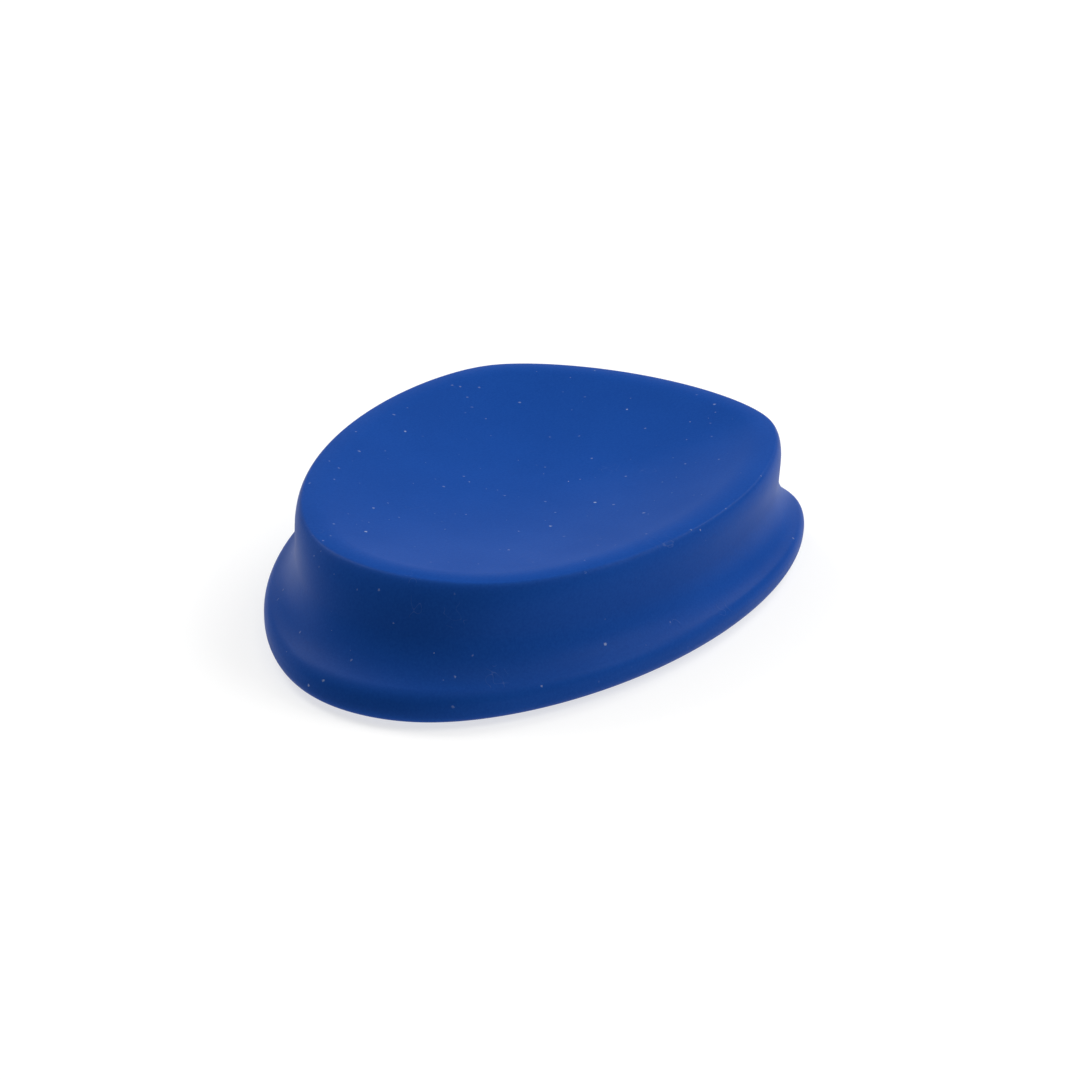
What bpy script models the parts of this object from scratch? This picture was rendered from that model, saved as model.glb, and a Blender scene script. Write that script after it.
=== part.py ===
"""Guitar slide with a moulded silicone grip, modelled for Blender 4.5 (metres, +Z up).

The slide is a flat weight held between thumb and fingers. A soft silicone cover with a
dished top, a waisted wall and a flared foot snaps over a brass weight. Three screws go
down through the weight and pull up the polished steel plate that runs on the strings.
The tip of the pick-shaped outline points along +X, and the plate's face is at z = 0.
"""
import math

import bmesh
import bpy

MM = 0.001
SEGMENTS = 80                  # points around every pick-shaped outline
CLEARANCE = 0.3 * MM           # gap that touching pieces keep

# Outline of the foot: a circle stretched, tapered and squared by cosine waves
MEAN_RADIUS = 30.0 * MM
STRETCH = 4.2 * MM             # two waves around: longer than wide
TAPER = 1.87 * MM              # three waves around: draws out the tip at +X
SHOULDER = -0.89 * MM          # four waves around: squares the two corners at the blunt end
CENTRING = -1.3 * MM           # puts the middle of the whole length at x = 0

# How the outline changes from the foot to the rim of the dish
TOP_SHIFT = -2.73 * MM         # the rim sits back from the tip
TOP_STRETCH = -1.12 * MM
TOP_TAPER = -0.87 * MM
TOP_SHOULDER = 0.12 * MM

# Section of the cover's outer skin, from its underside up to the dish
PROUD = 0.4 * MM               # the plate stands out of the cover by this much
HEIGHT = 12.0 * MM             # from the cover's underside to the crest of the rim
UNDER_ROUND = 1.6 * MM         # from the underside into the nose
NOSE_HEIGHT = 2.0 * MM         # the foot is widest up to here
FLARE_ROUND = 1.5 * MM         # over the top of the nose
FLARE_TURN = math.radians(61)
COVE_RADIUS = 4.8 * MM         # hollow between the flare and the wall
WALL_LEAN = math.radians(1)
RIM_INSET = 0.9 * MM           # the rim is a quarter of an ellipse
RIM_DROP = 2.5 * MM
CREST_TILT = math.radians(7)   # where the rim passes into the nearly flat crest
CREST_RADIUS = 8.0 * MM
DISH_DEPTH = 2.7 * MM
DISH_SLOPE = math.radians(12)  # where the crest meets the dish

# Pocket under the cover
POCKET_CORNERS = 0.6           # share of the outline's corners that the inside keeps
SOLE_THICKNESS = 2.1 * MM
MOUTH_INSET = 5.5 * MM
GROOVE_INSET = 4.2 * MM
GROOVE_TOP = 4.5 * MM
POCKET_INSET = 6.0 * MM
POCKET_RISE = 0.5              # the pocket's wall follows the outline of half height
POCKET_TOP = 7.4 * MM
SOLE_EDGE = 0.6 * MM
CORE_CHAMFER = 0.5 * MM

# Three screws join the weight and the plate
SCREW_PLACES = [(15.0 * MM, 0.0), (-9.5 * MM, 12.0 * MM), (-9.5 * MM, -12.0 * MM)]
SHANK_RADIUS = 1.2 * MM
HEAD_RADIUS = 2.3 * MM
HEAD_HEIGHT = 1.0 * MM
SOCKET_RADIUS = 1.1 * MM       # hexagon socket, corner radius
SOCKET_DEPTH = 0.6 * MM
BOSS_RADIUS = 2.7 * MM
BOSS_HEIGHT = 2.6 * MM
WEB = 0.7 * MM                 # metal of the weight under each screw head
SCREW_TIP = 1.5 * MM           # height of the screw's end
ROUND_EDGE = 0.2 * MM          # small bevels on the screws
ROUND_SEGMENTS = 24


def clear_scene():
    for item in list(bpy.data.objects):
        bpy.data.objects.remove(item, do_unlink=True)


def material(name, colour, roughness, metallic):
    made = bpy.data.materials.new(name)
    made.use_nodes = True
    shader = made.node_tree.nodes["Principled BSDF"]
    shader.inputs["Base Color"].default_value = (*colour, 1.0)
    shader.inputs["Roughness"].default_value = roughness
    shader.inputs["Metallic"].default_value = metallic
    return made


def outline(inset, rise, corners=1.0):
    """Points of the pick-shaped outline, moved in by inset. Rise is 0 at the foot and 1 at the rim.

    The outline is given by its support function: the distance of each tangent from the
    centre. An inset then only changes the mean, and points gather where the curve is tight.
    """
    waves = [
        MEAN_RADIUS - inset,
        rise * TOP_SHIFT + CENTRING,
        STRETCH + rise * TOP_STRETCH,
        corners * (TAPER + rise * TOP_TAPER),
        corners * (SHOULDER + rise * TOP_SHOULDER),
    ]
    points = []
    for step in range(SEGMENTS):
        angle = 2 * math.pi * step / SEGMENTS
        reach = sum(wave * math.cos(k * angle) for k, wave in enumerate(waves))
        turn = sum(-k * wave * math.sin(k * angle) for k, wave in enumerate(waves))
        x = reach * math.cos(angle) - turn * math.sin(angle)
        y = reach * math.sin(angle) + turn * math.cos(angle)
        points.append((x, y))
    return points


def walk_arc(path, heading, radius, turn, steps):
    """Extend a path of (inset, height) points by an arc. Heading 0 is outwards, a quarter turn is up."""
    step = turn / steps
    chord = 2 * radius * math.sin(abs(step) / 2)
    for _ in range(steps):
        inset, height = path[-1]
        middle = heading + step / 2
        path.append((inset - math.cos(middle) * chord, height + math.sin(middle) * chord))
        heading += step
    return heading


def rim_point(tilt):
    """Point of the rim's ellipse whose normal is tilted up by this much, from its centre."""
    across, up = RIM_INSET * math.cos(tilt), RIM_DROP * math.sin(tilt)
    size = math.hypot(across, up)
    return RIM_INSET * across / size, RIM_DROP * up / size


def walk_rim(path, steps):
    """Extend a path by the rim, from the wall's lean to the crest's tilt."""
    inset, height = path[-1]
    first = rim_point(WALL_LEAN)
    for step in range(1, steps + 1):
        tilt = WALL_LEAN + (math.pi / 2 - CREST_TILT - WALL_LEAN) * step / steps
        out, up = rim_point(tilt)
        path.append((inset + first[0] - out, height + up - first[1]))
    return math.pi - CREST_TILT


def skin_section():
    """Outer skin of the cover from its underside to the inner edge of the rim."""
    lower = [(0.0, 0.0)]
    heading = walk_arc(lower, 0.0, UNDER_ROUND, math.pi / 2, 4)
    nose = lower[-1][0]
    lower.append((nose, NOSE_HEIGHT))
    heading = walk_arc(lower, heading, FLARE_ROUND, FLARE_TURN, 5)
    walk_arc(lower, heading, COVE_RADIUS, WALL_LEAN - FLARE_TURN, 7)

    upper = [(0.0, 0.0)]
    heading = walk_rim(upper, 7)
    heading = walk_arc(upper, heading, CREST_RADIUS, CREST_TILT, 1)
    crest = upper[-1][1]
    walk_arc(upper, heading, CREST_RADIUS, DISH_SLOPE, 2)

    wall = HEIGHT - crest - lower[-1][1]
    neck = lower[-1][0] + wall * math.tan(WALL_LEAN)
    middle = ((lower[-1][0] + neck) / 2, lower[-1][1] + wall / 2)
    top = [(neck + inset, HEIGHT - crest + height) for inset, height in upper]
    return [(inset - nose, height) for inset, height in lower + [middle] + top]


def add_ring(mesh, points, height):
    return [mesh.verts.new((x, y, height)) for x, y in points]


def skin(mesh, rings):
    """Quads between each ring and the next one."""
    for lower, upper in zip(rings, rings[1:]):
        for i in range(len(lower)):
            j = (i + 1) % len(lower)
            mesh.faces.new((lower[i], lower[j], upper[j], upper[i]))


def dish_rings(mesh, edge, count):
    """Rings that shrink from the rim's inner edge to the middle of the dish."""
    middle_x = sum(vert.co.x for vert in edge) / len(edge)
    rings = []
    for step in range(1, count + 1):
        size = 1 - step / (count + 1)
        drop = DISH_DEPTH * (1 - size ** 2)
        ring = []
        for vert in edge:
            x = middle_x + (vert.co.x - middle_x) * size
            ring.append(mesh.verts.new((x, vert.co.y * size, vert.co.z - drop)))
        rings.append(ring)
    return rings


def finish(name, mesh, surface):
    """Turn the mesh into an object with its faces outwards and its round parts smooth."""
    bmesh.ops.recalc_face_normals(mesh, faces=mesh.faces)
    data = bpy.data.meshes.new(name)
    mesh.to_mesh(data)
    mesh.free()
    data.materials.append(surface)
    data.shade_smooth()
    data.set_sharp_from_angle(angle=math.radians(30))
    made = bpy.data.objects.new(name, data)
    bpy.context.scene.collection.objects.link(made)
    return made


def inner_ring(mesh, level):
    """Ring of the pocket or of a piece in it, from its inset, rise and height."""
    inset, rise, height = level
    return add_ring(mesh, outline(inset, rise, POCKET_CORNERS), height)


def stack(name, levels, surface):
    """Closed solid that fits in the pocket, capped flat at both ends."""
    mesh = bmesh.new()
    close(mesh, [inner_ring(mesh, level) for level in levels])
    return finish(name, mesh, surface)


def round_ring(mesh, place, radius, height):
    points = []
    for step in range(ROUND_SEGMENTS):
        angle = 2 * math.pi * step / ROUND_SEGMENTS
        points.append((place[0] + radius * math.cos(angle), place[1] + radius * math.sin(angle)))
    return add_ring(mesh, points, height)


def hexagon_ring(mesh, radius, height):
    """As many points as a round ring, spread along the sides of a hexagon."""
    points = []
    for step in range(ROUND_SEGMENTS):
        angle = 2 * math.pi * step / ROUND_SEGMENTS
        off_side = angle % (math.pi / 3) - math.pi / 6
        reach = radius * math.cos(math.pi / 6) / math.cos(off_side)
        points.append((reach * math.cos(angle), reach * math.sin(angle)))
    return add_ring(mesh, points, height)


def close(mesh, rings):
    """Closed solid through the rings, with a flat cap on the first and the last."""
    skin(mesh, rings)
    mesh.faces.new(rings[0])
    mesh.faces.new(rings[-1])


def turned_set(name, profile, surface):
    """The same solid of revolution at each screw's place, from (radius, height) pairs."""
    mesh = bmesh.new()
    for place in SCREW_PLACES:
        close(mesh, [round_ring(mesh, place, radius, height) for radius, height in profile])
    return finish(name, mesh, surface)


def combine(target, tool, operation):
    """Boolean with another object, which stays hidden as a guide."""
    step = target.modifiers.new(tool.name, "BOOLEAN")
    step.operation = operation
    step.object = tool
    step.solver = "EXACT"
    tool.hide_render = True
    tool.display_type = "WIRE"


def make_cover(surface):
    mesh = bmesh.new()
    rings = []
    for inset, height in skin_section():
        rise = height / HEIGHT
        rings.append(add_ring(mesh, outline(inset, rise), PROUD + height))
    rings += dish_rings(mesh, rings[-1], 8)
    pocket_levels = [
        (POCKET_INSET, POCKET_RISE, POCKET_TOP),
        (POCKET_INSET, POCKET_RISE, GROOVE_TOP),
        (GROOVE_INSET, 0.0, GROOVE_TOP),
        (GROOVE_INSET, 0.0, SOLE_THICKNESS),
        (MOUTH_INSET, 0.0, SOLE_THICKNESS),
        (MOUTH_INSET, 0.0, PROUD),
    ]
    pocket = [inner_ring(mesh, level) for level in pocket_levels]
    close(mesh, pocket + rings)
    finish("grip_cover", mesh, surface)


def boss_top():
    return SOLE_THICKNESS + BOSS_HEIGHT


def make_core(surface):
    """Brass weight: a flange that the cover's groove holds, under a body that fills the pocket."""
    bottom = SOLE_THICKNESS + CLEARANCE
    flange_top = GROOVE_TOP - CLEARANCE
    top = POCKET_TOP - CLEARANCE
    flange = GROOVE_INSET + CLEARANCE
    body = POCKET_INSET + CLEARANCE
    core = stack("core_weight", [
        (flange + CORE_CHAMFER, 0.0, bottom),
        (flange, 0.0, bottom + CORE_CHAMFER),
        (flange, 0.0, flange_top),
        (body, POCKET_RISE, flange_top),
        (body, POCKET_RISE, top - CORE_CHAMFER),
        (body + CORE_CHAMFER, POCKET_RISE, top),
    ], surface)
    seat = boss_top() + CLEARANCE
    drill = turned_set("core_drilling", [
        (BOSS_RADIUS + CLEARANCE, bottom - MM),
        (BOSS_RADIUS + CLEARANCE, seat),
        (SHANK_RADIUS + CLEARANCE, seat),
        (SHANK_RADIUS + CLEARANCE, seat + WEB),
        (HEAD_RADIUS + CLEARANCE, seat + WEB),
        (HEAD_RADIUS + CLEARANCE, top + MM),
    ], surface)
    combine(core, drill, "DIFFERENCE")


def make_plate(surface):
    """Polished sole with rounded edges and three drilled bosses on its back."""
    edge = MOUTH_INSET + CLEARANCE
    side = [(edge + SOLE_EDGE, 0.0)]
    walk_arc(side, 0.0, SOLE_EDGE, math.pi / 2, 4)
    side.append((edge, SOLE_THICKNESS))
    levels = [(inset, 0.0, height) for inset, height in side]
    plate = stack("string_plate", levels, surface)
    bosses = turned_set("plate_bosses", [
        (BOSS_RADIUS, SOLE_THICKNESS / 2),
        (BOSS_RADIUS, boss_top()),
    ], surface)
    holes = turned_set("plate_holes", [
        (SHANK_RADIUS + CLEARANCE, SCREW_TIP - CLEARANCE),
        (SHANK_RADIUS + CLEARANCE, boss_top() + MM),
    ], surface)
    combine(plate, bosses, "UNION")
    combine(plate, holes, "DIFFERENCE")


def make_screws(surface):
    """Three copies of one screw, head up, with a hexagon socket."""
    length = boss_top() + WEB + 2 * CLEARANCE - SCREW_TIP
    top = length + HEAD_HEIGHT
    mesh = bmesh.new()
    profile = [
        (SHANK_RADIUS - ROUND_EDGE, 0.0),
        (SHANK_RADIUS, ROUND_EDGE),
        (SHANK_RADIUS, length),
        (HEAD_RADIUS, length),
        (HEAD_RADIUS, top - ROUND_EDGE),
        (HEAD_RADIUS - ROUND_EDGE, top),
    ]
    rings = [round_ring(mesh, (0.0, 0.0), radius, height) for radius, height in profile]
    rings.append(hexagon_ring(mesh, SOCKET_RADIUS, top))
    rings.append(hexagon_ring(mesh, SOCKET_RADIUS, top - SOCKET_DEPTH))
    close(mesh, rings)
    first = finish("plate_screw_1", mesh, surface)
    screws = [first]
    for number in range(2, len(SCREW_PLACES) + 1):
        copy = bpy.data.objects.new(f"plate_screw_{number}", first.data)
        bpy.context.scene.collection.objects.link(copy)
        screws.append(copy)
    for screw, (x, y) in zip(screws, SCREW_PLACES):
        screw.location = (x, y, SCREW_TIP)


def main():
    clear_scene()
    silicone = material("blue_silicone", (0.010, 0.069, 0.337), 0.62, 0.0)
    brass = material("turned_brass", (0.70, 0.50, 0.22), 0.38, 1.0)
    steel = material("polished_steel", (0.72, 0.72, 0.74), 0.12, 1.0)
    zinc = material("zinc_plated_screw", (0.60, 0.62, 0.65), 0.32, 1.0)
    make_cover(silicone)
    make_core(brass)
    make_plate(steel)
    make_screws(zinc)


main()
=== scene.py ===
# %% [markdown]
# # A guitar slide with a moulded silicone grip
#
# The slide is a flat weight that lies across the strings. A blue silicone cover gives the
# fingers a soft waist to pinch and the thumb a shallow dish to press on. Inside it sits a
# brass weight, and three screws pull a polished steel plate against it from below.
#
# The cover, the weight and the plate all follow one rule: a pick-shaped outline that shrinks,
# shifts and rounds as it climbs. So one Geometry Nodes tree makes all three, and each piece
# only brings its own section. The finishes are node materials that read Object coordinates.

# %% Load the frame that every piece rides on
import math

import bmesh
import bpy
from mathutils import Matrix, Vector


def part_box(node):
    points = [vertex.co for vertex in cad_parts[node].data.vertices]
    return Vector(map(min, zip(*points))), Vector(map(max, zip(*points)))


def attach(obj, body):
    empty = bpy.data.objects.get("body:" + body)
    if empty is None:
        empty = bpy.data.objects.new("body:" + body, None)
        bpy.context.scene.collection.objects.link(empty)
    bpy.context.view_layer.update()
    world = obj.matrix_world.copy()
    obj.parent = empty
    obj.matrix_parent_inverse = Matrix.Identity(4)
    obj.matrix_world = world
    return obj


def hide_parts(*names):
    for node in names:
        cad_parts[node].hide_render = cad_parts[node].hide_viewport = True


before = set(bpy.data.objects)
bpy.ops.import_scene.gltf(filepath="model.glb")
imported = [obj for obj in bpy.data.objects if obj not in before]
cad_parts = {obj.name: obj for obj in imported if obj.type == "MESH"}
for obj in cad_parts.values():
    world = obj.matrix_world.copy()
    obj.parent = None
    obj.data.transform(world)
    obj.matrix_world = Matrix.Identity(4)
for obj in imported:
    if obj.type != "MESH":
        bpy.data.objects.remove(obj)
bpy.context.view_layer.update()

scene = bpy.context.scene
MM = 0.001

# %% [markdown]
# ## Small helpers for node trees
#
# A node tree is easier to read when one line makes one node. `add` places a node, fills its
# input sockets in order, and links any value that is itself a socket. `named` does the same
# for inputs that are easier to know by name.


# %% Helpers that place nodes
def fill(tree, socket, value):
    if isinstance(value, bpy.types.NodeSocket):
        tree.links.new(value, socket)
    elif value is not None:
        socket.default_value = value


def add(tree, kind, *values, **settings):
    node = tree.nodes.new(kind)
    for key, value in settings.items():
        setattr(node, key, value)
    for socket, value in zip([s for s in node.inputs if s.enabled], values):
        fill(tree, socket, value)
    return node


def named(tree, kind, inputs, **settings):
    node = add(tree, kind, **settings)
    for name, value in inputs.items():
        fill(tree, next(s for s in node.inputs if s.enabled and s.name == name), value)
    return node


def calc(tree, operation, *values):
    return add(tree, "ShaderNodeMath", *values, operation=operation).outputs[0]


def total(tree, terms):
    result = terms[0]
    for term in terms[1:]:
        result = calc(tree, "ADD", result, term)
    return result


def new_tree(name, kind, inputs, outputs):
    """Node group with named sockets. An input is (name, type, value)."""
    tree = bpy.data.node_groups.new(name, kind)
    for label, socket, value in inputs:
        made = tree.interface.new_socket(label, in_out="INPUT", socket_type=socket)
        if value is not None:
            made.default_value = value
    for label, socket in outputs:
        tree.interface.new_socket(label, in_out="OUTPUT", socket_type=socket)
    return tree, tree.nodes.new("NodeGroupInput"), tree.nodes.new("NodeGroupOutput")


# %% [markdown]
# ## The rule behind the pick shape
#
# A smooth outline can be given by its support function: for each direction, how far away the
# tangent line is. Here that distance is a mean radius plus a few cosine waves. Two waves
# around make the outline longer than wide, three draw out the tip, and four square the two
# blunt corners. An inset only lowers the mean, so walls of even thickness come for free.
#
# The tree starts from a flat grid. Its columns go around the outline and its rows go along
# the section. Each row looks up its inset, height and other values on the section's points,
# and Set Position then rolls the grid up into the finished skin.

# %% Names and sizes of the outline
OUTLINE = {
    "Mean Radius": 30.0 * MM,
    "Stretch": 4.2 * MM,
    "Taper": 1.87 * MM,
    "Corners": -0.89 * MM,
    "Centring": -1.3 * MM,
    "Top Shift": -2.73 * MM,
    "Top Stretch": -1.12 * MM,
    "Top Taper": -0.87 * MM,
    "Top Corners": 0.12 * MM,
}


# %% A Geometry Nodes tree that rolls a section around the outline
SEAM_WELD = 0.002 * MM


def pick_shell_tree():
    sizes = [(name, "NodeSocketFloat", value) for name, value in OUTLINE.items()]
    tree, given, result = new_tree(
        "pick_shell", "GeometryNodeTree",
        [("Section", "NodeSocketGeometry", None), ("Around", "NodeSocketInt", 288),
         ("Rows", "NodeSocketInt", 10), ("Surface", "NodeSocketMaterial", None), *sizes],
        [("Shell", "NodeSocketGeometry")])
    size = given.outputs
    grid = add(tree, "GeometryNodeMeshGrid", 1.0, 1.0,
               calc(tree, "ADD", size["Around"], 1), size["Rows"])
    place = add(tree, "ShaderNodeSeparateXYZ", add(tree, "GeometryNodeInputPosition").outputs[0])
    angle = calc(tree, "MULTIPLY", calc(tree, "ADD", place.outputs[0], 0.5), 2 * math.pi)
    last_row = calc(tree, "SUBTRACT", size["Rows"], 1)
    along = calc(tree, "ADD", place.outputs[1], 0.5)
    row = calc(tree, "ROUND", calc(tree, "MULTIPLY", along, last_row))

    def look_up(value):
        return named(tree, "GeometryNodeSampleIndex",
                     {"Geometry": size["Section"], "Value": value, "Index": row}).outputs[0]

    def stored(name):
        field = add(tree, "GeometryNodeInputNamedAttribute", name).outputs[0]
        return look_up(field)

    inset, height, scale = stored("inset"), stored("height"), stored("scale")
    rise, roundness = stored("rise"), stored("corners")
    waves = [
        calc(tree, "SUBTRACT", size["Mean Radius"], inset),
        calc(tree, "MULTIPLY_ADD", rise, size["Top Shift"], size["Centring"]),
        calc(tree, "MULTIPLY_ADD", rise, size["Top Stretch"], size["Stretch"]),
        calc(tree, "MULTIPLY", roundness,
             calc(tree, "MULTIPLY_ADD", rise, size["Top Taper"], size["Taper"])),
        calc(tree, "MULTIPLY", roundness,
             calc(tree, "MULTIPLY_ADD", rise, size["Top Corners"], size["Corners"])),
    ]
    reach, turn = [], []
    for k, wave in enumerate(waves):
        phase = calc(tree, "MULTIPLY", angle, k)
        reach.append(calc(tree, "MULTIPLY", wave, calc(tree, "COSINE", phase)))
        slope = calc(tree, "MULTIPLY", wave, calc(tree, "SINE", phase))
        turn.append(calc(tree, "MULTIPLY", slope, -k))
    reach, turn = total(tree, reach), total(tree, turn)
    cosine, sine = calc(tree, "COSINE", angle), calc(tree, "SINE", angle)
    x = calc(tree, "SUBTRACT", calc(tree, "MULTIPLY", reach, cosine), calc(tree, "MULTIPLY", turn, sine))
    y = calc(tree, "ADD", calc(tree, "MULTIPLY", reach, sine), calc(tree, "MULTIPLY", turn, cosine))
    from_middle = calc(tree, "SUBTRACT", x, waves[1])
    x = calc(tree, "MULTIPLY_ADD", from_middle, scale, waves[1])
    y = calc(tree, "MULTIPLY", y, scale)
    rolled = named(tree, "GeometryNodeSetPosition", {
        "Geometry": grid.outputs[0],
        "Position": add(tree, "ShaderNodeCombineXYZ", x, y, height).outputs[0]})
    closed = named(tree, "GeometryNodeMergeByDistance", {
        "Geometry": rolled.outputs[0], "Distance": SEAM_WELD})
    smooth = named(tree, "GeometryNodeSetShadeSmooth", {"Geometry": closed.outputs[0]})
    painted = named(tree, "GeometryNodeSetMaterial", {
        "Geometry": smooth.outputs[0], "Material": size["Surface"]})
    real = add(tree, "GeometryNodeRealizeInstances", painted.outputs[0])
    tree.links.new(real.outputs[0], result.inputs[0])
    return tree


pick_shell = pick_shell_tree()
print("the shell's tree has", len(pick_shell.nodes), "nodes")


# %% Turn a section into a plain mesh piece
def section_object(name, section):
    """Loose points that carry the section's values, one point for each row."""
    mesh = bpy.data.meshes.new(name)
    mesh.from_pydata([(0.0, 0.0, point["height"]) for point in section], [], [])
    for key in ("inset", "height", "rise", "corners", "scale"):
        column = mesh.attributes.new(key, "FLOAT", "POINT")
        for item, point in zip(column.data, section):
            item.value = point[key]
    made = bpy.data.objects.new(name, mesh)
    scene.collection.objects.link(made)
    return made


def set_inputs(modifier, values):
    """Modifier inputs go by identifier, so look each one up by its name first."""
    for item in modifier.node_group.interface.items_tree:
        if item.item_type == "SOCKET" and item.in_out == "INPUT" and item.name in values:
            modifier[item.identifier] = values[item.name]


def plain_mesh(piece):
    """Replace a piece's live modifiers by their result."""
    bpy.context.view_layer.update()
    shaped = piece.evaluated_get(bpy.context.evaluated_depsgraph_get())
    mesh = bpy.data.meshes.new_from_object(shaped)
    piece.modifiers.clear()
    piece.data = mesh
    return mesh


def face_outwards(mesh):
    shape = bmesh.new()
    shape.from_mesh(mesh)
    bmesh.ops.recalc_face_normals(shape, faces=shape.faces)
    volume = shape.calc_volume()
    open_edges = sum(1 for edge in shape.edges if not edge.is_manifold)
    shape.to_mesh(mesh)
    shape.free()
    return volume, open_edges


def print_mesh(piece, volume, open_edges):
    faces = len(piece.data.polygons)
    print(piece.name, faces, "faces,", round(volume / MM ** 3), "mm3,", open_edges, "open edges")


def roll_piece(name, section, surface, around=288):
    piece = section_object(name, section)
    shell = piece.modifiers.new("shell", "NODES")
    shell.node_group = pick_shell
    set_inputs(shell, {"Around": around, "Rows": len(section), "Surface": surface, **OUTLINE})
    mesh = plain_mesh(piece)
    volume, open_edges = face_outwards(mesh)
    print_mesh(piece, volume, open_edges)
    return piece


# %% [markdown]
# ## Grain, dust and scratches
#
# Each effect is a shader node group, built once, so that a finish can borrow it with values
# of its own. The grain is the fine tooth that a blasted mould leaves. Dust and curls of lint
# are what silicone collects within minutes, because it is slightly tacky. Hairlines are the
# fine parallel marks of a polishing belt on metal.

# %% Shared surface effects as shader groups
def grain_group():
    """Fine tooth of a surface: a height, and a value that wanders gently about zero."""
    tree, given, result = new_tree(
        "mould_grain", "ShaderNodeTree",
        [("Vector", "NodeSocketVector", None), ("Grains per mm", "NodeSocketFloat", 6.0),
         ("Clouds per mm", "NodeSocketFloat", 0.12)],
        [("Height", "NodeSocketFloat"), ("Clouds", "NodeSocketFloat")])
    tooth = named(tree, "ShaderNodeTexNoise", {
        "Vector": given.outputs["Vector"], "Detail": 3.0, "Roughness": 0.6,
        "Scale": calc(tree, "MULTIPLY", given.outputs["Grains per mm"], 1 / MM)})
    clouds = named(tree, "ShaderNodeTexNoise", {
        "Vector": given.outputs["Vector"], "Detail": 2.0, "Roughness": 0.5,
        "Scale": calc(tree, "MULTIPLY", given.outputs["Clouds per mm"], 1 / MM)})
    tree.links.new(tooth.outputs[0], result.inputs["Height"])
    tree.links.new(calc(tree, "SUBTRACT", clouds.outputs[0], 0.5), result.inputs["Clouds"])
    return tree


def dust_group():
    """Mask of scattered specks: small discs at cell centres, kept in only a few cells."""
    tree, given, result = new_tree(
        "dust_specks", "ShaderNodeTree",
        [("Vector", "NodeSocketVector", None), ("Cells per mm", "NodeSocketFloat", 0.5),
         ("Speck Radius", "NodeSocketFloat", 0.1), ("Share", "NodeSocketFloat", 0.2)],
        [("Mask", "NodeSocketFloat")])
    scale = calc(tree, "MULTIPLY", given.outputs["Cells per mm"], 1 / MM)
    ragged = named(tree, "ShaderNodeTexNoise", {
        "Vector": given.outputs["Vector"], "Scale": 5.0 / MM, "Detail": 1.0})
    cells = named(tree, "ShaderNodeTexVoronoi", {
        "Vector": given.outputs["Vector"], "Scale": scale, "Randomness": 1.0})
    lot = add(tree, "ShaderNodeSeparateColor", cells.outputs["Color"])
    kept = calc(tree, "LESS_THAN", lot.outputs[0], given.outputs["Share"])
    vary = calc(tree, "MULTIPLY_ADD", lot.outputs[1], 0.9, 0.35)
    size = calc(tree, "MULTIPLY", given.outputs["Speck Radius"], vary)
    size = calc(tree, "MULTIPLY", size, calc(tree, "MULTIPLY_ADD", ragged.outputs[0], 1.6, 0.2))
    inside = named(tree, "ShaderNodeMapRange", {
        "Value": cells.outputs["Distance"], "From Min": size,
        "From Max": calc(tree, "MULTIPLY", size, 0.5), "To Min": 0.0, "To Max": 1.0})
    mask = calc(tree, "MULTIPLY", inside.outputs[0], kept)
    mask = calc(tree, "MULTIPLY", mask, calc(tree, "MULTIPLY_ADD", lot.outputs[2], 0.7, 0.3))
    tree.links.new(mask, result.inputs["Mask"])
    return tree


def lint_group():
    """Mask of short thin curls: a level line of a noise, kept in the middle of a few cells."""
    tree, given, result = new_tree(
        "lint_curls", "ShaderNodeTree",
        [("Vector", "NodeSocketVector", None), ("Curls per mm", "NodeSocketFloat", 0.16),
         ("Thickness", "NodeSocketFloat", 0.012), ("Share", "NodeSocketFloat", 0.25)],
        [("Mask", "NodeSocketFloat")])
    wander = named(tree, "ShaderNodeTexNoise", {
        "Vector": given.outputs["Vector"], "Scale": 0.9 / MM, "Detail": 0.0})
    off_line = calc(tree, "ABSOLUTE", calc(tree, "SUBTRACT", wander.outputs[0], 0.5))
    line = named(tree, "ShaderNodeMapRange", {
        "Value": off_line, "From Min": given.outputs["Thickness"], "From Max": 0.0,
        "To Min": 0.0, "To Max": 1.0})
    cells = named(tree, "ShaderNodeTexVoronoi", {
        "Vector": given.outputs["Vector"], "Randomness": 1.0,
        "Scale": calc(tree, "MULTIPLY", given.outputs["Curls per mm"], 1 / MM)})
    lot = add(tree, "ShaderNodeSeparateColor", cells.outputs["Color"])
    kept = calc(tree, "LESS_THAN", lot.outputs[0], given.outputs["Share"])
    near = calc(tree, "LESS_THAN", cells.outputs["Distance"], 0.22)
    tree.links.new(calc(tree, "MULTIPLY", calc(tree, "MULTIPLY", line.outputs[0], kept), near),
                   result.inputs["Mask"])
    return tree


def hairline_group():
    """Height of fine parallel marks along X."""
    tree, given, result = new_tree(
        "hairlines", "ShaderNodeTree",
        [("Vector", "NodeSocketVector", None), ("Marks per mm", "NodeSocketFloat", 12.0),
         ("Length", "NodeSocketFloat", 0.04)],
        [("Height", "NodeSocketFloat")])
    stretched = add(tree, "ShaderNodeMapping")
    tree.links.new(given.outputs["Vector"], stretched.inputs["Vector"])
    tree.links.new(add(tree, "ShaderNodeCombineXYZ", given.outputs["Length"], 1.0, 1.0).outputs[0],
                   stretched.inputs["Scale"])
    marks = named(tree, "ShaderNodeTexNoise", {
        "Vector": stretched.outputs[0], "Detail": 3.0, "Roughness": 0.7,
        "Scale": calc(tree, "MULTIPLY", given.outputs["Marks per mm"], 1 / MM)})
    tree.links.new(marks.outputs[0], result.inputs["Height"])
    return tree


mould_grain, dust_specks, lint_curls, hairlines = grain_group(), dust_group(), lint_group(), hairline_group()
print("four shared effects are ready")


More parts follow.
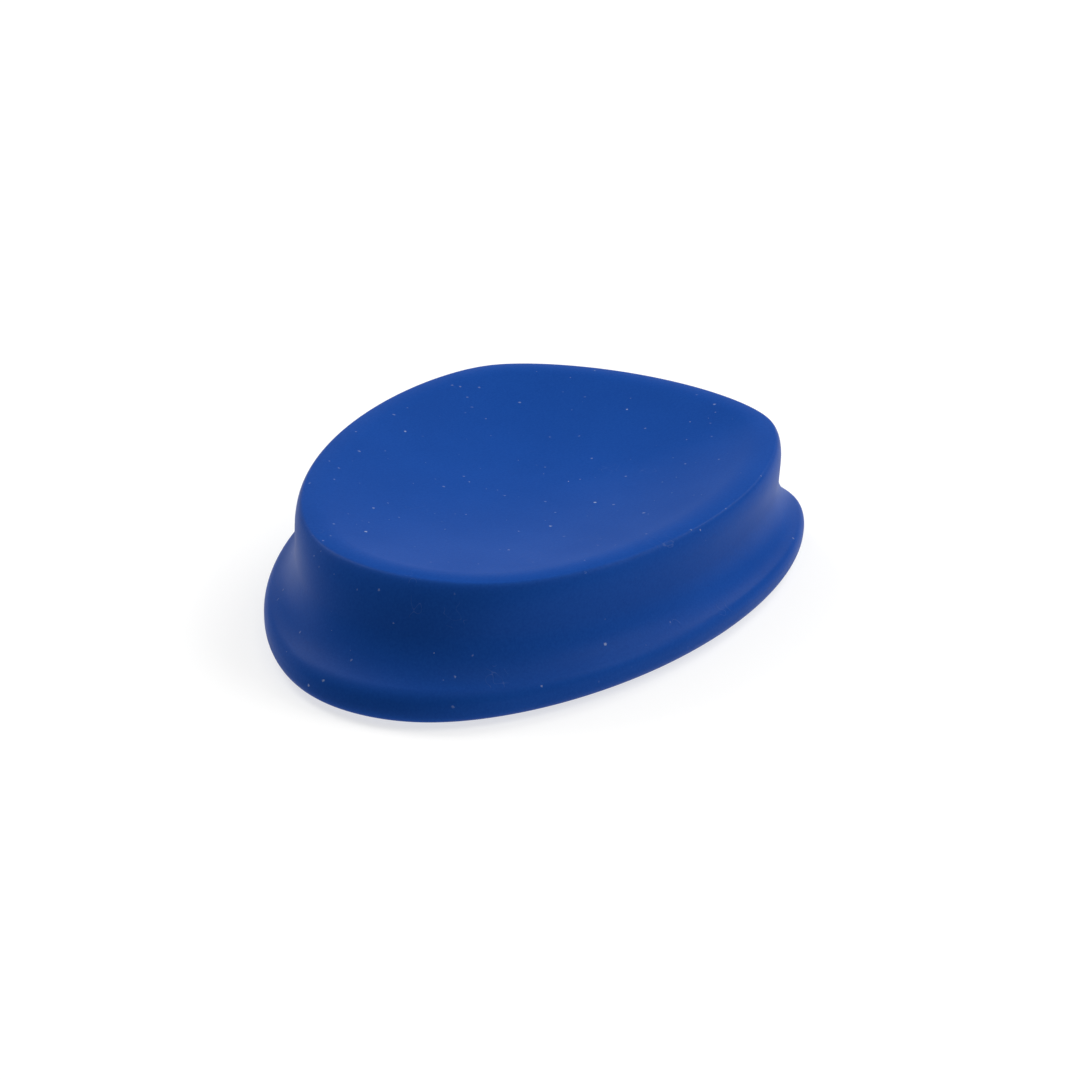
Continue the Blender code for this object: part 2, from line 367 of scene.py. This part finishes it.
# %% Start of a material
def new_material(name, **fixed):
    """Material with a Principled BSDF whose plain sockets are set by name."""
    material = bpy.data.materials.new(name)
    material.use_nodes = True
    tree = material.node_tree
    shader = tree.nodes["Principled BSDF"]
    for key, value in fixed.items():
        shader.inputs[key.replace("_", " ")].default_value = value
    where = add(tree, "ShaderNodeTexCoord").outputs["Object"]
    return material, tree, shader, where


def use_group(tree, group, **inputs):
    node = tree.nodes.new("ShaderNodeGroup")
    node.node_tree = group
    for key, value in inputs.items():
        fill(tree, node.inputs[key.replace("_", " ")], value)
    return node.outputs


def mix_colour(tree, share, first, second):
    node = tree.nodes.new("ShaderNodeMix")
    node.data_type = "RGBA"
    fill(tree, node.inputs["Factor"], share)
    fill(tree, node.inputs[6], first)
    fill(tree, node.inputs[7], second)
    return node.outputs[2]


def bump(tree, shader, height, strength, distance):
    node = named(tree, "ShaderNodeBump", {"Strength": strength, "Distance": distance, "Height": height})
    tree.links.new(node.outputs[0], shader.inputs["Normal"])


# %% [markdown]
# ## Blue silicone
#
# Pigmented silicone is matte and dry: it hardly mirrors anything, and what gloss it has is
# spread wide. So the specular level is far below that of a hard plastic, and the milky veil at
# a low angle comes from the Fresnel effect alone. The pigment is very even, with only slight
# clouds, and a fine tooth from the blasted mould breaks up the shine.
#
# Silicone is also tacky, so pale dust sits on it wherever the skin faces up. Specks in two
# sizes and a few short curls of lint are masks that lighten the colour and roughen the skin.

# %% The silicone's finish
BLUE = (0.0085, 0.0620, 0.306, 1.0)
BLUE_DEEP = (0.0065, 0.0540, 0.276, 1.0)
DUST = (0.34, 0.40, 0.54, 1.0)


def silicone_material():
    material, tree, shader, where = new_material(
        "blue_silicone", Specular_IOR_Level=0.028)
    grain = use_group(tree, mould_grain, Vector=where, Grains_per_mm=4.0, Clouds_per_mm=0.10)
    clouds = calc(tree, "MULTIPLY_ADD", grain["Clouds"], 1.6, 0.5)
    tooth = calc(tree, "SUBTRACT", grain["Height"], 0.5)
    clouds = calc(tree, "MULTIPLY_ADD", tooth, 3.0, clouds)
    pigment = mix_colour(tree, clouds, BLUE, BLUE_DEEP)
    large = use_group(tree, dust_specks, Vector=where, Cells_per_mm=0.5, Speck_Radius=0.085, Share=0.40)
    small = use_group(tree, dust_specks, Vector=where, Cells_per_mm=0.8, Speck_Radius=0.11, Share=0.50)
    curls = use_group(tree, lint_curls, Vector=where, Curls_per_mm=0.16, Thickness=0.012, Share=0.25)
    dust = calc(tree, "MAXIMUM", large["Mask"], calc(tree, "MULTIPLY", small["Mask"], 0.40))
    dust = calc(tree, "MAXIMUM", dust, calc(tree, "MULTIPLY", curls["Mask"], 0.09))
    facing = add(tree, "ShaderNodeSeparateXYZ", add(tree, "ShaderNodeNewGeometry").outputs["Normal"])
    upwards = named(tree, "ShaderNodeMapRange", {
        "Value": facing.outputs[2], "From Min": -0.1, "From Max": 0.5, "To Min": 0.12, "To Max": 1.0})
    dust = calc(tree, "MULTIPLY", dust, upwards.outputs[0])
    colour = mix_colour(tree, dust, pigment, DUST)
    tree.links.new(colour, shader.inputs["Base Color"])
    rough = calc(tree, "MULTIPLY_ADD", grain["Clouds"], 0.10, 0.40)
    rough = calc(tree, "MULTIPLY_ADD", dust, 0.3, rough)
    tree.links.new(rough, shader.inputs["Roughness"])
    bump(tree, shader, calc(tree, "MULTIPLY_ADD", dust, 1.5, grain["Height"]), 0.4, 0.02 * MM)
    return material


blue_silicone = silicone_material()

# %% [markdown]
# ## The silicone cover
#
# On the real slide this is one compression moulding. Its section is a path that a small
# walker draws: round the underside, up the nose, over the top of the foot, back through a
# hollow cove, up the wall, over the rim and down into the dish. Each stretch is an arc, a
# straight line or part of an ellipse, so every radius can be read and changed in one place.

# %% Sizes of the section
cover_low, cover_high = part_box("grip_cover")
PROUD = cover_low.z
CREST = cover_high.z - PROUD
UNDER_ROUND, NOSE_HEIGHT = 1.6 * MM, 2.0 * MM
FLARE_ROUND, FLARE_TURN = 1.5 * MM, math.radians(61)
COVE_RADIUS, WALL_LEAN = 4.8 * MM, math.radians(1)
RIM_INSET, RIM_DROP = 0.9 * MM, 2.5 * MM
CREST_RADIUS, CREST_TILT = 8.0 * MM, math.radians(7)
DISH_DEPTH, DISH_SLOPE = 2.7 * MM, math.radians(12)
print("crest of the rim at", round(cover_high.z / MM, 2), "mm")


# %% A walker that draws the section
def walk_arc(path, heading, radius, turn, steps):
    """Extend (inset, height) points by an arc. Heading 0 is outwards, a quarter turn is up."""
    step = turn / steps
    chord = 2 * radius * math.sin(abs(step) / 2)
    for _ in range(steps):
        inset, height = path[-1]
        middle = heading + step / 2
        path.append((inset - math.cos(middle) * chord, height + math.sin(middle) * chord))
        heading += step
    return heading


def walk_line(path, inset, height, steps):
    first = path[-1]
    for step in range(1, steps + 1):
        share = step / steps
        path.append((first[0] + (inset - first[0]) * share, first[1] + (height - first[1]) * share))


def rim_point(tilt):
    """Point of the rim's ellipse whose normal is tilted up by this much."""
    across, up = RIM_INSET * math.cos(tilt), RIM_DROP * math.sin(tilt)
    size = math.hypot(across, up)
    return RIM_INSET * across / size, RIM_DROP * up / size


def walk_rim(path, steps):
    inset, height = path[-1]
    first = rim_point(WALL_LEAN)
    for step in range(1, steps + 1):
        tilt = WALL_LEAN + (math.pi / 2 - CREST_TILT - WALL_LEAN) * step / steps
        out, up = rim_point(tilt)
        path.append((inset + first[0] - out, height + up - first[1]))
    return math.pi - CREST_TILT


# %% The outer skin, from the underside to the middle of the dish
def skin_path():
    lower = [(0.0, 0.0)]
    heading = walk_arc(lower, 0.0, UNDER_ROUND, math.pi / 2, 12)
    nose = lower[-1][0]
    walk_line(lower, nose, NOSE_HEIGHT, 2)
    heading = walk_arc(lower, heading, FLARE_ROUND, FLARE_TURN, 14)
    walk_arc(lower, heading, COVE_RADIUS, WALL_LEAN - FLARE_TURN, 20)

    upper = [(0.0, 0.0)]
    heading = walk_rim(upper, 18)
    heading = walk_arc(upper, heading, CREST_RADIUS, CREST_TILT, 4)
    crest = upper[-1][1]
    walk_arc(upper, heading, CREST_RADIUS, DISH_SLOPE, 7)

    wall = CREST - crest - lower[-1][1]
    neck = lower[-1][0] + wall * math.tan(WALL_LEAN)
    walk_line(lower, neck, CREST - crest, 8)
    lower += [(neck + inset, CREST - crest + height) for inset, height in upper[1:]]
    return [(inset - nose, height) for inset, height in lower]


def skin_rows():
    rows = []
    for inset, height in skin_path():
        rows.append({"inset": inset, "height": PROUD + height, "rise": height / CREST,
                     "corners": 1.0, "scale": 1.0})
    edge = rows[-1]
    dish_steps = 30
    for step in range(1, dish_steps + 1):
        size = 1 - step / dish_steps
        rows.append({**edge, "height": edge["height"] - DISH_DEPTH * (1 - size ** 2), "scale": size})
    return rows


def inner_rows(levels):
    """Rows of a pocket or of a piece in it, from (inset, rise, height, scale) levels."""
    return [{"inset": inset, "height": height, "rise": rise, "corners": 0.6, "scale": scale}
            for inset, rise, height, scale in levels]


# %% Roll the cover
MOUTH, GROOVE, POCKET = 5.5 * MM, 4.2 * MM, 6.0 * MM
LIP_TOP, GROOVE_TOP, POCKET_TOP = 2.1 * MM, 4.5 * MM, 7.4 * MM
pocket_rows = inner_rows([
    (POCKET, 0.5, POCKET_TOP, 0.0),
    (POCKET, 0.5, POCKET_TOP, 1.0),
    (POCKET, 0.5, GROOVE_TOP, 1.0),
    (GROOVE, 0.0, GROOVE_TOP, 1.0),
    (GROOVE, 0.0, LIP_TOP, 1.0),
    (MOUTH, 0.0, LIP_TOP, 1.0),
    (MOUTH, 0.0, PROUD, 1.0),
])
cover = roll_piece("silicone_cover", pocket_rows + skin_rows(), blue_silicone)
cover.data.set_sharp_from_angle(angle=math.radians(40))
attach(cover, "root")
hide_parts("grip_cover")

# %% [markdown]
# ## Brass and polished steel
#
# Both inner metals are worked from bar, and each tool leaves its own marks. The brass weight is
# sawn and milled, then only deburred, so it has coarse marks and a dull warm film. The plate
# has to let strings glide, so it is belt polished: very fine hairlines along its length, and
# a mirror under them. The screws are zinc plated, which is a slightly mottled grey.
#
# All three are the same recipe with other numbers: a metal whose roughness and colour follow
# the shared hairlines and grain.

# %% Metal finishes
def metal(name, bright, dull, rough, spread, mottle, marks, length, depth):
    """Worked metal. Hairlines and clouds move colour and roughness between two ends."""
    material, tree, shader, where = new_material(name, Metallic=1.0)
    lines = use_group(tree, hairlines, Vector=where, Marks_per_mm=marks, Length=length)
    grain = use_group(tree, mould_grain, Vector=where, Grains_per_mm=3.0, Clouds_per_mm=0.15)
    tarnish = calc(tree, "MULTIPLY_ADD", grain["Clouds"], mottle, 0.5)
    tarnish = calc(tree, "MULTIPLY_ADD", calc(tree, "SUBTRACT", lines["Height"], 0.5), 1.2, tarnish)
    tree.links.new(mix_colour(tree, tarnish, bright, dull), shader.inputs["Base Color"])
    tree.links.new(calc(tree, "MULTIPLY_ADD", tarnish, spread, rough), shader.inputs["Roughness"])
    bump(tree, shader, lines["Height"], 0.3, depth)
    return material


milled_brass = metal("milled_brass", (0.78, 0.56, 0.25, 1), (0.50, 0.33, 0.14, 1),
                     0.26, 0.16, 1.6, 4.0, 0.06, 0.012 * MM)
polished_steel = metal("polished_steel", (0.80, 0.80, 0.81, 1), (0.60, 0.60, 0.62, 1),
                       0.08, 0.14, 0.25, 4.5, 0.012, 0.002 * MM)
zinc_plate = metal("zinc_plate", (0.66, 0.68, 0.71, 1), (0.50, 0.51, 0.53, 1),
                   0.26, 0.18, 1.4, 6.0, 0.8, 0.006 * MM)
print("three metals are mixed")

# %% [markdown]
# ## The sole plate
#
# The plate is the face that runs on the strings. Its rim is the same outline again, set in far
# enough to clear the cover's mouth, with a rounded lower edge so that it can't catch. Three
# bosses on its back take the screws. They are turned shapes joined by an exact Boolean, since
# a boss or hole away from the middle is the one thing that rolling a section can't make.

# %% Turned shapes and a Boolean to join or drill with them
places = []
for number in (1, 2, 3):
    low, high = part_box(f"plate_screw_{number}")
    places.append(((low.x + high.x) / 2, (low.y + high.y) / 2))
screw_low, screw_high = low.z, high.z
print("screws at", [(round(x / MM, 1), round(y / MM, 1)) for x, y in places], "mm")


def turned(name, profile, spots, around=64):
    """Closed turned shapes, one at each spot, from (radius, height) points going up."""
    shape = bmesh.new()
    for spot in spots:
        rings = []
        for radius, height in profile:
            ring = []
            for k in range(around):
                angle = 2 * math.pi * k / around
                x, y = spot[0] + radius * math.cos(angle), spot[1] + radius * math.sin(angle)
                ring.append(shape.verts.new((x, y, height)))
            rings.append(ring)
        for lower, upper in zip(rings, rings[1:]):
            for k in range(around):
                after = (k + 1) % around
                shape.faces.new((lower[k], lower[after], upper[after], upper[k]))
        shape.faces.new(rings[0][::-1])
        shape.faces.new(rings[-1])
    mesh = bpy.data.meshes.new(name)
    shape.to_mesh(mesh)
    shape.free()
    made = bpy.data.objects.new(name, mesh)
    scene.collection.objects.link(made)
    return made


def combine(piece, tools, operation):
    """Join the tools to the piece, or cut them out of it, and clear them away."""
    cut = piece.modifiers.new("cut", "BOOLEAN")
    cut.operation, cut.solver, cut.object = operation, "EXACT", tools
    plain_mesh(piece)
    bpy.data.objects.remove(tools)


def finish_metal(piece, surface, sharp=30):
    """Flat areas become single faces, shading breaks at real edges, and faces point outwards."""
    mesh = piece.data
    shape = bmesh.new()
    shape.from_mesh(mesh)
    bmesh.ops.remove_doubles(shape, verts=shape.verts, dist=SEAM_WELD)
    bmesh.ops.dissolve_limit(shape, angle_limit=math.radians(0.05), verts=shape.verts, edges=shape.edges)
    shape.to_mesh(mesh)
    shape.free()
    mesh.materials.clear()
    mesh.materials.append(surface)
    mesh.shade_smooth()
    mesh.set_sharp_from_angle(angle=math.radians(sharp))
    volume, open_edges = face_outwards(mesh)
    print_mesh(piece, volume, open_edges)


# %% Roll the plate and give it its bosses
plate_low, plate_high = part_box("string_plate")
GAP, SOLE_EDGE, SOLE_TOP = 0.3 * MM, 0.6 * MM, 2.1 * MM
BOSS_RADIUS, BOSS_EDGE, HOLE_RADIUS, HOLE_EDGE = 2.7 * MM, 0.25 * MM, 1.5 * MM, 0.2 * MM
plate_edge = MOUTH + GAP
TOP_BREAK = 0.15 * MM
edge_path = [(plate_edge + SOLE_EDGE, plate_low.z)]
walk_arc(edge_path, 0.0, SOLE_EDGE, math.pi / 2, 8)
edge_path += [(plate_edge, SOLE_TOP - TOP_BREAK), (plate_edge + TOP_BREAK, SOLE_TOP)]
plate_levels = [(plate_edge + SOLE_EDGE, 0.0, plate_low.z, 0.0)]
plate_levels += [(inset, 0.0, height, 1.0) for inset, height in edge_path]
plate_levels += [(plate_edge + TOP_BREAK, 0.0, SOLE_TOP, 0.0)]
plate = roll_piece("sole_plate", inner_rows(plate_levels), polished_steel, around=240)
bosses = turned("bosses", [
    (BOSS_RADIUS, SOLE_TOP / 2), (BOSS_RADIUS, plate_high.z - BOSS_EDGE),
    (BOSS_RADIUS - BOSS_EDGE, plate_high.z)], places)
combine(plate, bosses, "UNION")
holes = turned("holes", [
    (HOLE_RADIUS, screw_low - GAP), (HOLE_RADIUS, plate_high.z - HOLE_EDGE),
    (HOLE_RADIUS + HOLE_EDGE, plate_high.z), (HOLE_RADIUS + HOLE_EDGE, plate_high.z + MM)], places)
combine(plate, holes, "DIFFERENCE")
finish_metal(plate, polished_steel)
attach(plate, "root")
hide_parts("string_plate")

# %% [markdown]
# ## The brass weight
#
# Silicone alone would deaden the strings, so the mass is a brass block in the cover's pocket.
# A flange at its foot snaps into the cover's groove. It is the same outline with two insets and
# chamfered edges, drilled through for the screws, with a counterbore that sinks their heads.

# %% Roll and drill the weight
weight_low, weight_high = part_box("core_weight")
FLANGE, BODY, CHAMFER = 4.5 * MM, 6.3 * MM, 0.5 * MM
FLANGE_TOP = GROOVE_TOP - GAP
weight_levels = [
    (FLANGE + CHAMFER, 0.0, weight_low.z, 0.0),
    (FLANGE + CHAMFER, 0.0, weight_low.z, 1.0),
    (FLANGE, 0.0, weight_low.z + CHAMFER, 1.0),
    (FLANGE, 0.0, FLANGE_TOP, 1.0),
    (BODY, 0.5, FLANGE_TOP, 1.0),
    (BODY, 0.5, weight_high.z - CHAMFER, 1.0),
    (BODY + CHAMFER, 0.5, weight_high.z, 1.0),
    (BODY + CHAMFER, 0.5, weight_high.z, 0.0),
]
weight = roll_piece("brass_weight", inner_rows(weight_levels), milled_brass, around=240)
HEAD_HEIGHT, SINK_RADIUS = 1.0 * MM, 2.6 * MM
HEAD_SEAT = screw_high - HEAD_HEIGHT - GAP
drill = turned("drill", [
    (BOSS_RADIUS + GAP, weight_low.z - MM), (BOSS_RADIUS + GAP, plate_high.z + GAP),
    (HOLE_RADIUS, plate_high.z + GAP), (HOLE_RADIUS, HEAD_SEAT),
    (SINK_RADIUS, HEAD_SEAT), (SINK_RADIUS, weight_high.z + MM)], places)
combine(weight, drill, "DIFFERENCE")
finish_metal(weight, milled_brass)
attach(weight, "root")
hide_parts("core_weight")

# %% [markdown]
# ## Three socket-head screws
#
# A screw is another shape with a rule: a section turned around an axis. A thread only adds a
# wave to the radius that climbs one pitch for each turn, and a hexagon socket divides the
# radius by a cosine that repeats six times. So the tree bends a grid into one screw, then sets
# copies of it on three points.

# %% A Geometry Nodes tree that makes the screws
def screw_tree():
    tree, given, result = new_tree(
        "socket_screws", "GeometryNodeTree",
        [("Section", "NodeSocketGeometry", None), ("Around", "NodeSocketInt", 96),
         ("Rows", "NodeSocketInt", 10), ("Pitch", "NodeSocketFloat", 0.5 * MM),
         ("Thread Depth", "NodeSocketFloat", 0.25 * MM), ("Places", "NodeSocketObject", None),
         ("Surface", "NodeSocketMaterial", None)],
        [("Screws", "NodeSocketGeometry")])
    size = given.outputs
    grid = add(tree, "GeometryNodeMeshGrid", 1.0, 1.0,
               calc(tree, "ADD", size["Around"], 1), size["Rows"])
    place = add(tree, "ShaderNodeSeparateXYZ", add(tree, "GeometryNodeInputPosition").outputs[0])
    share = calc(tree, "ADD", place.outputs[0], 0.5)
    angle = calc(tree, "MULTIPLY", share, 2 * math.pi)
    last_row = calc(tree, "SUBTRACT", size["Rows"], 1)
    along = calc(tree, "ADD", place.outputs[1], 0.5)
    row = calc(tree, "ROUND", calc(tree, "MULTIPLY", along, last_row))

    def stored(name):
        field = add(tree, "GeometryNodeInputNamedAttribute", name).outputs[0]
        return named(tree, "GeometryNodeSampleIndex",
                     {"Geometry": size["Section"], "Value": field, "Index": row}).outputs[0]

    radius, height = stored("radius"), stored("height")
    thread, hexagon = stored("thread"), stored("hexagon")
    turns = calc(tree, "SUBTRACT", calc(tree, "DIVIDE", height, size["Pitch"]), share)
    ridge = calc(tree, "MULTIPLY", calc(tree, "PINGPONG", turns, 0.5), 2.0)
    cut = calc(tree, "MULTIPLY", calc(tree, "MULTIPLY", ridge, size["Thread Depth"]), thread)
    flat = math.pi / 3
    swing = calc(tree, "SUBTRACT", calc(tree, "FLOORED_MODULO", angle, flat), flat / 2)
    across_flat = calc(tree, "DIVIDE", math.cos(flat / 2), calc(tree, "COSINE", swing))
    shrink = calc(tree, "MULTIPLY_ADD", calc(tree, "SUBTRACT", across_flat, 1.0), hexagon, 1.0)
    reach = calc(tree, "MULTIPLY", calc(tree, "SUBTRACT", radius, cut), shrink)
    bent = named(tree, "GeometryNodeSetPosition", {
        "Geometry": grid.outputs[0],
        "Position": add(tree, "ShaderNodeCombineXYZ",
                        calc(tree, "MULTIPLY", reach, calc(tree, "COSINE", angle)),
                        calc(tree, "MULTIPLY", reach, calc(tree, "SINE", angle)), height).outputs[0]})
    closed = named(tree, "GeometryNodeMergeByDistance", {
        "Geometry": bent.outputs[0], "Distance": SEAM_WELD / 2})
    spots = named(tree, "GeometryNodeObjectInfo", {"Object": size["Places"]})
    points = named(tree, "GeometryNodeMeshToPoints", {"Mesh": spots.outputs["Geometry"]})
    copies = named(tree, "GeometryNodeInstanceOnPoints", {
        "Points": points.outputs[0], "Instance": closed.outputs[0]})
    real = add(tree, "GeometryNodeRealizeInstances", copies.outputs[0])
    painted = named(tree, "GeometryNodeSetMaterial", {
        "Geometry": real.outputs[0], "Material": size["Surface"]})
    tree.links.new(painted.outputs[0], result.inputs[0])
    return tree


socket_screws = screw_tree()
print("the screw's tree has", len(socket_screws.nodes), "nodes")

# %% The screw's section, from its tip to the bottom of its socket
SHANK, HEAD, HEAD_ROUND = 1.2 * MM, 2.3 * MM, 0.2 * MM
SOCKET, SOCKET_DEPTH, SOCKET_CHAMFER = 1.1 * MM, 0.6 * MM, 0.06 * MM
THREAD_PITCH, THREAD_DEPTH, THREAD_STEPS, RUN_IN = 0.5 * MM, 0.25 * MM, 72, 6
under_head = screw_high - HEAD_HEIGHT
core = SHANK - THREAD_DEPTH


def screw_rows():
    """(radius, height, share of thread, share of hexagon) of every row."""
    rows = [(0.0, screw_low, 0, 0), (core - 0.2 * MM, screw_low, 0, 0), (core, screw_low + 0.2 * MM, 0, 0)]
    low, high = screw_low + 0.25 * MM, under_head - 0.5 * MM
    for step in range(THREAD_STEPS + 1):
        height = low + (high - low) * step / THREAD_STEPS
        run_in = min(1.0, step / RUN_IN, (THREAD_STEPS - step) / RUN_IN)
        rows.append((core + THREAD_DEPTH * run_in, height, run_in, 0))
    rows += [(core, under_head - 0.15 * MM, 0, 0), (SHANK - 0.1 * MM, under_head, 0, 0),
             (HEAD - 0.1 * MM, under_head, 0, 0), (HEAD, under_head + 0.1 * MM, 0, 0)]
    for step in range(7):
        tilt = math.pi / 2 * step / 6
        rows.append((HEAD - HEAD_ROUND * (1 - math.cos(tilt)),
                     screw_high - HEAD_ROUND * (1 - math.sin(tilt)), 0, 0))
    return rows + [
        (SOCKET + SOCKET_CHAMFER, screw_high, 0, 1), (SOCKET, screw_high - SOCKET_CHAMFER, 0, 1),
        (SOCKET, screw_high - SOCKET_DEPTH, 0, 1),
        (0.0, screw_high - SOCKET_DEPTH - 0.15 * MM, 0, 0)]


screw_section = screw_rows()
print("a screw has", len(screw_section), "rows")

# %% Set the three screws
screw_mesh = bpy.data.meshes.new("plate_screws")
screw_mesh.from_pydata([(0.0, 0.0, point[1]) for point in screw_section], [], [])
for column, key in enumerate(("radius", "height", "thread", "hexagon")):
    values = screw_mesh.attributes.new(key, "FLOAT", "POINT")
    for item, point in zip(values.data, screw_section):
        item.value = point[column]
screws = bpy.data.objects.new("plate_screws", screw_mesh)
spots_mesh = bpy.data.meshes.new("screw_places")
spots_mesh.from_pydata([(x, y, 0.0) for x, y in places], [], [])
spots = bpy.data.objects.new("screw_places", spots_mesh)
for item in (screws, spots):
    scene.collection.objects.link(item)
turning = screws.modifiers.new("screws", "NODES")
turning.node_group = socket_screws
set_inputs(turning, {"Around": 96, "Rows": len(screw_section), "Pitch": THREAD_PITCH,
                     "Thread Depth": THREAD_DEPTH, "Places": spots, "Surface": zinc_plate})
plain_mesh(screws)
bpy.data.objects.remove(spots)
finish_metal(screws, zinc_plate, sharp=35)
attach(screws, "root")
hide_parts("plate_screw_1", "plate_screw_2", "plate_screw_3")

# %% [markdown]
# ## A pale floor and the camera
#
# The slide lies on a white table. A floor that is only lit would need light so strong that
# the slide's own shading drowned in it. So part of its white is a glow of its own, and the
# rest is lit, which leaves a faint contact shadow. Seen from below, the floor is clear.
#
# The camera stands off the tip and a little to one side, with a long lens. The lens shift
# only moves the slide to its place in the frame.

# %% Floor and camera
floor_mesh = bpy.data.meshes.new("floor")
FLOOR = 3.0
floor_corners = [(-FLOOR, -FLOOR, 0), (FLOOR, -FLOOR, 0), (FLOOR, FLOOR, 0), (-FLOOR, FLOOR, 0)]
floor_mesh.from_pydata(floor_corners, [], [(0, 1, 2, 3)])
floor = bpy.data.objects.new("floor", floor_mesh)
scene.collection.objects.link(floor)
floor_paint, tree, shader, where = new_material(
    "floor_paint", Roughness=0.9, Specular_IOR_Level=0.0, Base_Color=(0.35, 0.35, 0.345, 1.0),
    Emission_Color=(1.0, 1.0, 1.0, 1.0), Emission_Strength=0.68)
see_through = add(tree, "ShaderNodeBsdfTransparent")
side = add(tree, "ShaderNodeNewGeometry").outputs["Backfacing"]
both = add(tree, "ShaderNodeMixShader", side, shader.outputs[0], see_through.outputs[0])
tree.links.new(both.outputs[0], tree.nodes["Material Output"].inputs[0])
floor_mesh.materials.append(floor_paint)

AZIMUTH, ELEVATION = math.radians(116.7), math.radians(25.24)
DISTANCE = 0.42
towards = Vector((math.sin(AZIMUTH), -math.cos(AZIMUTH), 0))
rightwards = Vector((math.cos(AZIMUTH), math.sin(AZIMUTH), 0))
back = towards * math.cos(ELEVATION) + Vector((0, 0, math.sin(ELEVATION)))
aim = Vector((OUTLINE["Centring"], 0, PROUD))
camera = bpy.data.objects.new("camera", bpy.data.cameras.new("camera"))
camera.location = aim + back * DISTANCE
camera.rotation_mode = "QUATERNION"
camera.rotation_quaternion = (-back).to_track_quat("-Z", "Y")
camera.data.lens = 135.7
camera.data.shift_x = 0.0172
camera.data.shift_y = 0.0383
camera.data.clip_end = 20
scene.collection.objects.link(camera)
scene.camera = camera

# %% [markdown]
# ## Soft studio light
#
# A matte skin shows its shape by soft gradients, so every lamp is a large softbox that faces
# the slide. Most of the light comes from behind and from the sides, which darkens the near
# wall and leaves the dish bright. A long low panel behind the slide mirrors in the front of
# the dish, which is the broadest gloss on it. The world gives almost no light, but the
# camera sees it white.

# %% Light
scene.view_settings.view_transform = "Standard"
world = bpy.data.worlds.new("studio")
scene.world = world
world.use_nodes = True
backdrop = world.node_tree.nodes["Background"]
backdrop.inputs["Color"].default_value = (1, 1, 1, 1)
seen = add(world.node_tree, "ShaderNodeLightPath").outputs["Is Camera Ray"]
strength = calc(world.node_tree, "MULTIPLY_ADD", seen, 0.99, 0.01)
fill(world.node_tree, backdrop.inputs["Strength"], strength)

SOFTBOX_SIZE, SOFTBOX_DISTANCE = 0.6, 1.2
SOFTBOXES = {  # name: degrees round from the camera's side, degrees up, watts
    "front_high": (30, 72, 1.8),
    "front_fill": (45, 38, 0.4),
    "right_low": (90, 18, 0.8),
    "right": (90, 40, 5.5),
    "right_high": (90, 62, 1.2),
    "back_right": (135, 40, 5.8),
    "back_right_high": (135, 62, 0.8),
    "left_low": (240, 14, 1.5),
    "back_left": (225, 40, 6.2),
    "back_left_high": (225, 62, 2.1),
}


def hang_light(name, around, up, distance, watts, shape, size, size_y=None):
    """Area light that faces the slide and stays out of the camera's sight."""
    around, up = math.radians(around), math.radians(up)
    level = towards * math.cos(around) + rightwards * math.sin(around)
    direction = level * math.cos(up) + Vector((0, 0, math.sin(up)))
    lamp = bpy.data.lights.new(name, "AREA")
    lamp.shape, lamp.size, lamp.energy = shape, size, watts
    if size_y:
        lamp.size_y = size_y
    holder = bpy.data.objects.new(name, lamp)
    holder.location = direction * distance
    holder.rotation_mode = "QUATERNION"
    holder.rotation_quaternion = (-direction).to_track_quat("-Z", "Y")
    holder.visible_camera = False
    scene.collection.objects.link(holder)


for name, (around, up, watts) in SOFTBOXES.items():
    hang_light(name, around, up, SOFTBOX_DISTANCE, watts, "DISK", SOFTBOX_SIZE)
hang_light("bright_wall", 177, 9.8, 1.5, 2.2, "RECTANGLE", 1.8, 0.48)
print(len(SOFTBOXES) + 1, "lights")
